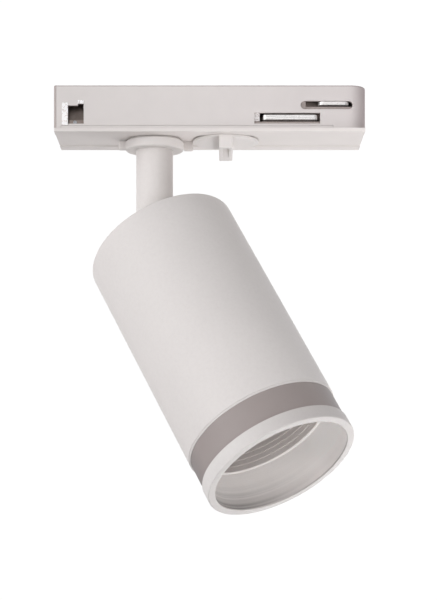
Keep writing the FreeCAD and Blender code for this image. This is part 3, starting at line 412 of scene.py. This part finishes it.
def frosted_acrylic(name):
    """Satin acrylic tube: greyish on the outside, a painted shade of the unlit inside seen through its thickness; paler
    where light reaches its inner wall, with a painted glow at its rear end edge.
    """
    k = Mat(name)
    g = k.n.new("ShaderNodeNewGeometry")
    # radial part of the normal, from the head's axis, in object space
    pos = k.n.new("ShaderNodeVectorMath"); pos.operation = "SUBTRACT"
    k.link(k.co, pos.inputs[0]); pos.inputs[1].default_value = PIVOT
    dot = k.n.new("ShaderNodeVectorMath"); dot.operation = "DOT_PRODUCT"
    k.link(pos.outputs[0], dot.inputs[0]); dot.inputs[1].default_value = AIM
    scale = k.n.new("ShaderNodeVectorMath"); scale.operation = "SCALE"
    scale.inputs[0].default_value = AIM; k.link(dot.outputs["Value"], scale.inputs["Scale"])
    rad = k.n.new("ShaderNodeVectorMath"); rad.operation = "SUBTRACT"
    k.link(pos.outputs[0], rad.inputs[0]); k.link(scale.outputs[0], rad.inputs[1])
    ln = k.n.new("ShaderNodeVectorMath"); ln.operation = "LENGTH"
    k.link(rad.outputs[0], ln.inputs[0])
    outer = k.span(ln.outputs["Value"], 0, 1, 0.02795, 0.02925)
    along = k.math("SUBTRACT", FRONT, dot.outputs["Value"])             # distance back from the front plane
    cloud = k.noise(45.0, 3.0, 0.5)
    wall = k.mix(cloud, lin(240, 235, 232), lin(248, 244, 241))
    seat_shade = k.span(along, 1, 0, 0.0036, 0.0062)                           # painted shade where the opaque bezel backs the wall and no light comes through
    wall = k.mix(k.math("MULTIPLY", seat_shade, 0.45), wall, lin(222, 215, 212))
    w = k.n.new("ShaderNodeTexNoise")
    w.noise_dimensions = "1D"
    w.inputs["Scale"].default_value = 2600.0
    w.inputs["Detail"].default_value = 3.0
    k.link(along, w.inputs["W"])
    wall = k.mix(k.math("MULTIPLY", k.span(w.outputs["Fac"], 0, 1, 0.35, 0.7), 0.10), wall, lin(206, 199, 196))
    xyz = k.axes()
    low = k.span(xyz[0], 1, 0, 0.034, 0.064)                             # the shaded low side of the mouth
    broad = k.n.new("ShaderNodeTexNoise")
    broad.noise_dimensions = "1D"
    broad.inputs["Scale"].default_value = 620.0
    broad.inputs["Detail"].default_value = 2.0
    k.link(along, broad.inputs["W"])
    mouth = k.math("ADD", 0.15, k.math("MULTIPLY", k.span(along, 0.46, 0, 0.0, 0.0120), k.span(broad.outputs["Fac"], 0.45, 1.35, 0.38, 0.62)))
    wall = k.tint(wall, k.math("MULTIPLY", low, mouth, clamp=True), (0.0, 0.0, 0.0))
    # painted shade: the outer band is greyed, as the unlit inside seen through it
    col = k.mix(outer, wall, k.mix(cloud, lin(163, 153, 150), lin(174, 165, 162)))
    lw = k.n.new("ShaderNodeLayerWeight")                                # painted shade: the band deepens where it turns away
    lw.inputs["Blend"].default_value = 0.5
    col = k.tint(col, k.math("MULTIPLY", outer, k.span(lw.outputs["Facing"], 0, 1, 0.50, 0.95)), (0.56, 0.55, 0.56))
    # painted glow: the tube's rear end edge lights up by emission, except on the shaded low side
    end = k.math("MULTIPLY", k.math("SUBTRACT", 1.0, outer), k.span(along, 0, 1, 0.0169, 0.0172))
    # light reaching the inner wall through the band, more on the open side
    through = k.math("MULTIPLY", k.math("SUBTRACT", 1.0, outer), k.span(xyz[0], 0, 1, 0.046, 0.078))
    deep = k.math("MULTIPLY", k.math("SUBTRACT", 1.0, outer), k.math("MULTIPLY", k.span(along, 0, 0.085, 0.004, 0.016), k.span(xyz[0], 0.25, 1, 0.030, 0.048)))
    through = k.math("ADD", k.math("MULTIPLY", through, 0.17), deep)
    end_glow = k.math("MULTIPLY", end, k.math("SUBTRACT", 1.0, low))
    k.link(k.math("ADD", k.math("MULTIPLY", end_glow, 0.10), through), k.b.inputs["Emission Strength"])
    k.b.inputs["Emission Color"].default_value = (1, 0.99, 0.985, 1)
    k.link(col, k.b.inputs["Base Color"])
    f = k.noise(5200.0, 2.0, 0.6)
    k.link(k.math("ADD", k.span(f, 0.36, 0.48, 0.3, 0.7), k.math("MULTIPLY", k.math("SUBTRACT", 1.0, outer), -0.12)), k.b.inputs["Roughness"])
    k.link(k.bump(f, 0.10, 0.00003, k.bevel(0.0002)), k.b.inputs["Normal"])
    k.set(Subsurface_Weight=0.25, Subsurface_Radius=(0.0015, 0.0013, 0.0012), Transmission_Weight=0.04, IOR=1.49, Specular_IOR_Level=0.32)
    return k.m


def clear_optic(name):
    k = Mat(name)
    cell = k.voronoi(420.0, "SMOOTH_F1")
    f = k.noise(2600.0)
    k.set(Base_Color=lin(238, 238, 234), Transmission_Weight=0.82, IOR=1.49)
    k.link(k.span(f, 0.10, 0.22, 0.3, 0.7), k.b.inputs["Roughness"])
    k.link(k.bump(cell, 0.5, 0.0004), k.b.inputs["Normal"])
    return k.m


def phosphor(name):
    k = Mat(name)
    f = k.noise(3000.0, 3.0)
    k.link(k.mix(f, lin(226, 190, 70), lin(244, 214, 110)), k.b.inputs["Base Color"])
    k.link(k.span(f, 0.3, 0.5, 0.3, 0.7), k.b.inputs["Roughness"])
    k.link(k.bump(f, 0.3, 0.00003), k.b.inputs["Normal"])
    return k.m


WHITE = lin(231, 227, 224)
mats = {
    "adapter_plastic": moulded_plastic("adapter_plastic", lin(228, 223, 220), 0.48, extra=adapter_painted_light),
    "lever_plastic": moulded_plastic("lever_plastic", lin(231, 227, 224), 0.44, edge_highlight=0.5),
    "white_paint": powder_coat("white_paint", WHITE, extra=stem_painted_shade),
    "bezel_paint": powder_coat("bezel_paint", lin(234, 231, 228), 0.5, extra=bezel_painted_shade),
    "baffle_paint": moulded_plastic("baffle_paint", lin(236, 230, 227), 0.75, extra=baffle_painted_shade),
    "frosted_acrylic": frosted_acrylic("frosted_acrylic"),
    "zinc_steel": brushed("zinc_steel", lin(196, 198, 202), 0.34, (0, 0, 1), 0.25, 0.35),
    "spring_steel": brushed("spring_steel", lin(160, 148, 141), 0.34, (0, 0, 1), 0.3, 0.4),
    "plated_contact": brushed("plated_contact", lin(250, 248, 246), 0.22, (1, 0, 0), 0.4, 0.18, metal=0.45),
    "insulator": moulded_plastic("insulator", lin(150, 136, 129), 0.5),
    "brown_insulation": insulation("brown_insulation", lin(96, 56, 34)),
    "blue_insulation": insulation("blue_insulation", lin(40, 84, 152)),
    "green_insulation": insulation("green_insulation", lin(66, 140, 52), lin(222, 202, 60)),
    "white_cable": insulation("white_cable", lin(226, 222, 218)),
    "lead_silicone": rubber("lead_silicone", lin(214, 210, 204), 0.7),
    "grommet_rubber": rubber("grommet_rubber", lin(222, 218, 214), 0.65),
    "seal_rubber": rubber("seal_rubber", lin(38, 38, 40), 0.7),
    "holder_ceramic": ceramic("holder_ceramic", lin(232, 226, 214)),
    "lamp_plastic": moulded_plastic("lamp_plastic", lin(232, 230, 227), 0.35, strength=0.08),
    "lamp_lens_clear": clear_optic("lamp_lens_clear"),
    "lamp_board": moulded_plastic("lamp_board", lin(226, 226, 222), 0.4),
    "led_phosphor": phosphor("led_phosphor"),
}
slot_of = {s["node"]: s["material_slot"] for s in record["subparts"]}
for name, obj in nodes.items():
    obj.data.materials.clear()
    obj.data.materials.append(mats[slot_of[name]])


# ---------------------------------------------------------------- helpers for new pieces
def new_object(name, bm, material, body=None, smooth=True):
    me = bpy.data.meshes.new(name)
    bm.normal_update()
    bm.to_mesh(me)
    bm.free()
    if smooth:
        for p in me.polygons:
            p.use_smooth = True
    ob = bpy.data.objects.new(name, me)
    scene.collection.objects.link(ob)
    ob.data.materials.append(mats[material])
    if body:
        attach(ob, body)
    return ob


def tube_along(bm, points, radius, segments=32):
    """A round tube through the points, closed with flat ends, by parallel transport."""
    n = len(points)
    tang = [((points[min(i + 1, n - 1)] - points[max(i - 1, 0)])).normalized() for i in range(n)]
    up = tang[0].orthogonal().normalized()
    rings = []
    for i in range(n):
        if i:
            up = (tang[i - 1].rotation_difference(tang[i])) @ up
        v = tang[i].cross(up).normalized()
        rings.append([bm.verts.new(points[i] + (up * math.cos(a) + v * math.sin(a)) * radius) for a in (2 * math.pi * s / segments for s in range(segments))])
    for a, b in zip(rings[:-1], rings[1:]):
        for s in range(segments):
            bm.faces.new((a[s], a[(s + 1) % segments], b[(s + 1) % segments], b[s]))
    bm.faces.new(list(reversed(rings[0])))
    bm.faces.new(rings[-1])


# the cable's bend behind the hinge
pan_back = (TILT_AXIS.cross(Vector((0, 0, 1)))).normalized()      # away from where the head leans
if pan_back.dot(AIM) > 0:
    pan_back.negate()
P0 = PIVOT + pan_back * 8.6 * MM + Vector((0, 0, 5.65 * MM))
D0 = (pan_back * 8.6 + Vector((0, 0, 5.65 - 13.0))).normalized()
GROMMET = PIVOT + AIM * 7.6 * MM + SIDE * (13.5 * MM if SIDE.dot(pan_back) > 0 else -13.5 * MM)
P1 = GROMMET - AIM * 1.1 * MM
D1 = AIM.copy()
pts = []
STEPS = 40
for i in range(STEPS + 1):
    u = i / STEPS
    a, b, c, d = 2 * u**3 - 3 * u**2 + 1, u**3 - 2 * u**2 + u, -2 * u**3 + 3 * u**2, u**3 - u**2
    pts.append(P0 * a + D0 * (0.044 * b) + P1 * c + D1 * (0.044 * d))
bm = bmesh.new()
tube_along(bm, pts, 1.8 * MM, 32)
loop = new_object("cable_bend", bm, "white_cable")
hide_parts("hinge_cable_loop")
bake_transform(loop)


# ---------------------------------------------------------------- floor, light and camera
lo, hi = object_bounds()
floor_mat = bpy.data.materials.new("floor_pale")
floor_mat.use_nodes = True
nt = floor_mat.node_tree
nt.nodes.clear()
out = nt.nodes.new("ShaderNodeOutputMaterial")
pr = nt.nodes.new("ShaderNodeBsdfPrincipled")
pr.inputs["Base Color"].default_value = (0.86, 0.86, 0.86, 1)
pr.inputs["Roughness"].default_value = 0.9
tr = nt.nodes.new("ShaderNodeBsdfTransparent")
mx = nt.nodes.new("ShaderNodeMixShader")
geo = nt.nodes.new("ShaderNodeNewGeometry")
nt.links.new(geo.outputs["Backfacing"], mx.inputs[0])
nt.links.new(pr.outputs[0], mx.inputs[1])
nt.links.new(tr.outputs[0], mx.inputs[2])
nt.links.new(mx.outputs[0], out.inputs["Surface"])
bm = bmesh.new()
bmesh.ops.create_circle(bm, cap_ends=True, radius=3.0, segments=96)
me = bpy.data.meshes.new("floor")
bm.to_mesh(me)
bm.free()
floor = bpy.data.objects.new("floor", me)
floor.location = (0, 0, lo.z - 0.14)
scene.collection.objects.link(floor)
me.materials.append(floor_mat)

world = bpy.data.worlds.new("studio")
scene.world = world
world.use_nodes = True
wt = world.node_tree
wt.nodes.clear()
wo = wt.nodes.new("ShaderNodeOutputWorld")
bg_cam = wt.nodes.new("ShaderNodeBackground")
bg_cam.inputs["Color"].default_value = (1, 1, 1, 1)
bg_cam.inputs["Strength"].default_value = 1.03
bg = wt.nodes.new("ShaderNodeBackground")
tc = wt.nodes.new("ShaderNodeTexCoord")
# soft patches of light: direction towards each one, and its strength at the middle; each fades as the 4th power of a cosine
PATCHES = [
    ((-0.36, 0.33, 0.88), 0.09), ((0.43, 0.56, 0.71), 0.51), ((-0.23, 0.86, 0.46), 1.20), ((-0.43, -0.82, 0.38), 0.33),
    ((-0.90, 0.37, 0.21), 0.16), ((0.30, 0.95, 0.04), 0.73), ((-0.86, -0.50, -0.04), 2.50), ((-0.56, 0.80, -0.21), 0.07),
    ((-0.12, -0.95, -0.29), 0.83), ((-0.89, 0.04, -0.46), 0.40), ((-0.04, 0.78, -0.62), 0.26), ((-0.45, -0.54, -0.71), 0.86),
]
total = None
for way, power in PATCHES:
    dp = wt.nodes.new("ShaderNodeVectorMath")
    dp.operation = "DOT_PRODUCT"
    dp.inputs[1].default_value = Vector(way).normalized()
    wt.links.new(tc.outputs["Generated"], dp.inputs[0])
    chain = dp.outputs["Value"]
    for op, value in (("MAXIMUM", 0.0), ("POWER", 4.0), ("MULTIPLY", power)):
        m = wt.nodes.new("ShaderNodeMath")
        m.operation = op
        m.inputs[1].default_value = value
        wt.links.new(chain, m.inputs[0])
        chain = m.outputs[0]
    if total is not None:
        m = wt.nodes.new("ShaderNodeMath")
        m.operation = "ADD"
        wt.links.new(total, m.inputs[0])
        wt.links.new(chain, m.inputs[1])
        chain = m.outputs[0]
    total = chain
wt.links.new(total, bg.inputs["Strength"])
bg.inputs["Color"].default_value = (0.995, 0.983, 0.996, 1)
lp = wt.nodes.new("ShaderNodeLightPath")
wm = wt.nodes.new("ShaderNodeMixShader")
wt.links.new(lp.outputs["Is Camera Ray"], wm.inputs[0])
wt.links.new(bg.outputs[0], wm.inputs[1])
wt.links.new(bg_cam.outputs[0], wm.inputs[2])
wt.links.new(wm.outputs[0], wo.inputs["Surface"])

# three near soft lights, low on the right, behind it and far right: place, what each is turned to, size and power;
# they light the object and not the floor
unlit = bpy.data.collections.new("floor_only")
unlit.objects.link(floor)
unlit.collection_objects[0].light_linking.link_state = "EXCLUDE"
for i, (place_at, aim_at, size, power) in enumerate((
        (Vector((0.16, -0.08, -0.30)), Vector((0.06, 0.0, -0.02)), 0.12, 0.34),
        (Vector((0.22, 0.18, -0.25)), Vector((0.06, 0.0, -0.02)), 0.15, 0.249),
        (Vector((0.35, -0.45, -0.05)), Vector((0.06, 0.0, -0.02)), 0.20, 0.78))):
    ld = bpy.data.lights.new("soft_%d" % i, "AREA")
    ld.shape = "DISK"
    ld.size = size
    ld.energy = power
    ld.color = (0.995, 0.983, 0.996)
    lo_ = bpy.data.objects.new("soft_%d" % i, ld)
    scene.collection.objects.link(lo_)
    lo_.location = place_at
    lo_.rotation_euler = (aim_at - place_at).to_track_quat("-Z", "Y").to_euler()
    lo_.light_linking.receiver_collection = unlit
    lo_.visible_camera = False
    lo_.visible_glossy = False

cam_data = bpy.data.cameras.new("camera")
cam = bpy.data.objects.new("camera", cam_data)
scene.collection.objects.link(cam)
cam_data.sensor_width = 36.0
cam_data.sensor_fit = "AUTO"
cam_data.lens = LENS
cam_data.clip_start = 0.01
cam_data.clip_end = 50.0
cam.location = (CAM_X, CAM_Y, CAM_Z)
cam.rotation_euler = (math.radians(90), 0, 0)
# A level camera with a rising lens, so that upright edges stay upright. The lens shift is tied to the camera's distance from
# its own place: it holds there, and the lens is centred again wherever else the camera is put.
place = bpy.data.objects.new("camera_place", None)
scene.collection.objects.link(place)
place.location = cam.location
shift = cam_data.driver_add("shift_y")
shift.driver.type = "SUM"
var = shift.driver.variables.new()
var.name = "d"
var.type = "LOC_DIFF"
var.targets[0].id = cam
var.targets[1].id = place
for m in list(shift.modifiers):
    shift.modifiers.remove(m)
shift.keyframe_points.add(2)
for key, (at, value) in zip(shift.keyframe_points, ((0.0, SHIFT_Y), (0.02, 0.0))):
    key.co = (at, value)
    key.interpolation = "LINEAR"
shift.update()
scene.camera = cam
